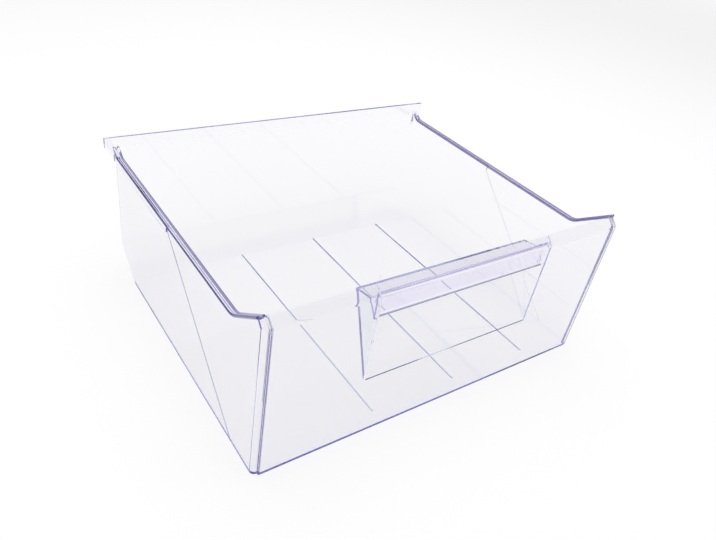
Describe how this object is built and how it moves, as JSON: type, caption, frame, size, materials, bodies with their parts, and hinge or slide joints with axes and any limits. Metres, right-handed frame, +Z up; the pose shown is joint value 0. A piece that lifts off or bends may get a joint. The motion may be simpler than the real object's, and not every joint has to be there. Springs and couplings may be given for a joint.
{
  "type": "freezer drawer",
  "caption": "Clear moulded freezer drawer: open-top box with a finger pocket in its tall front, side rims with runner rails, a sloped rear foot and stop ears at the back.",
  "frame": {"origin": "on the surface the drawer stands on, under the middle of its outline", "axes": "+X to the right seen from the front, +Y from the front panel to the back wall, +Z up"},
  "size_m": [0.4828, 0.392, 0.1934],
  "materials": {
    "clear_plastic": "clear moulded polystyrene with a faint violet tint that deepens at the edges"
  },
  "bodies": {
    "root": {"drawer": "clear_plastic"}
  },
  "joints": []
}
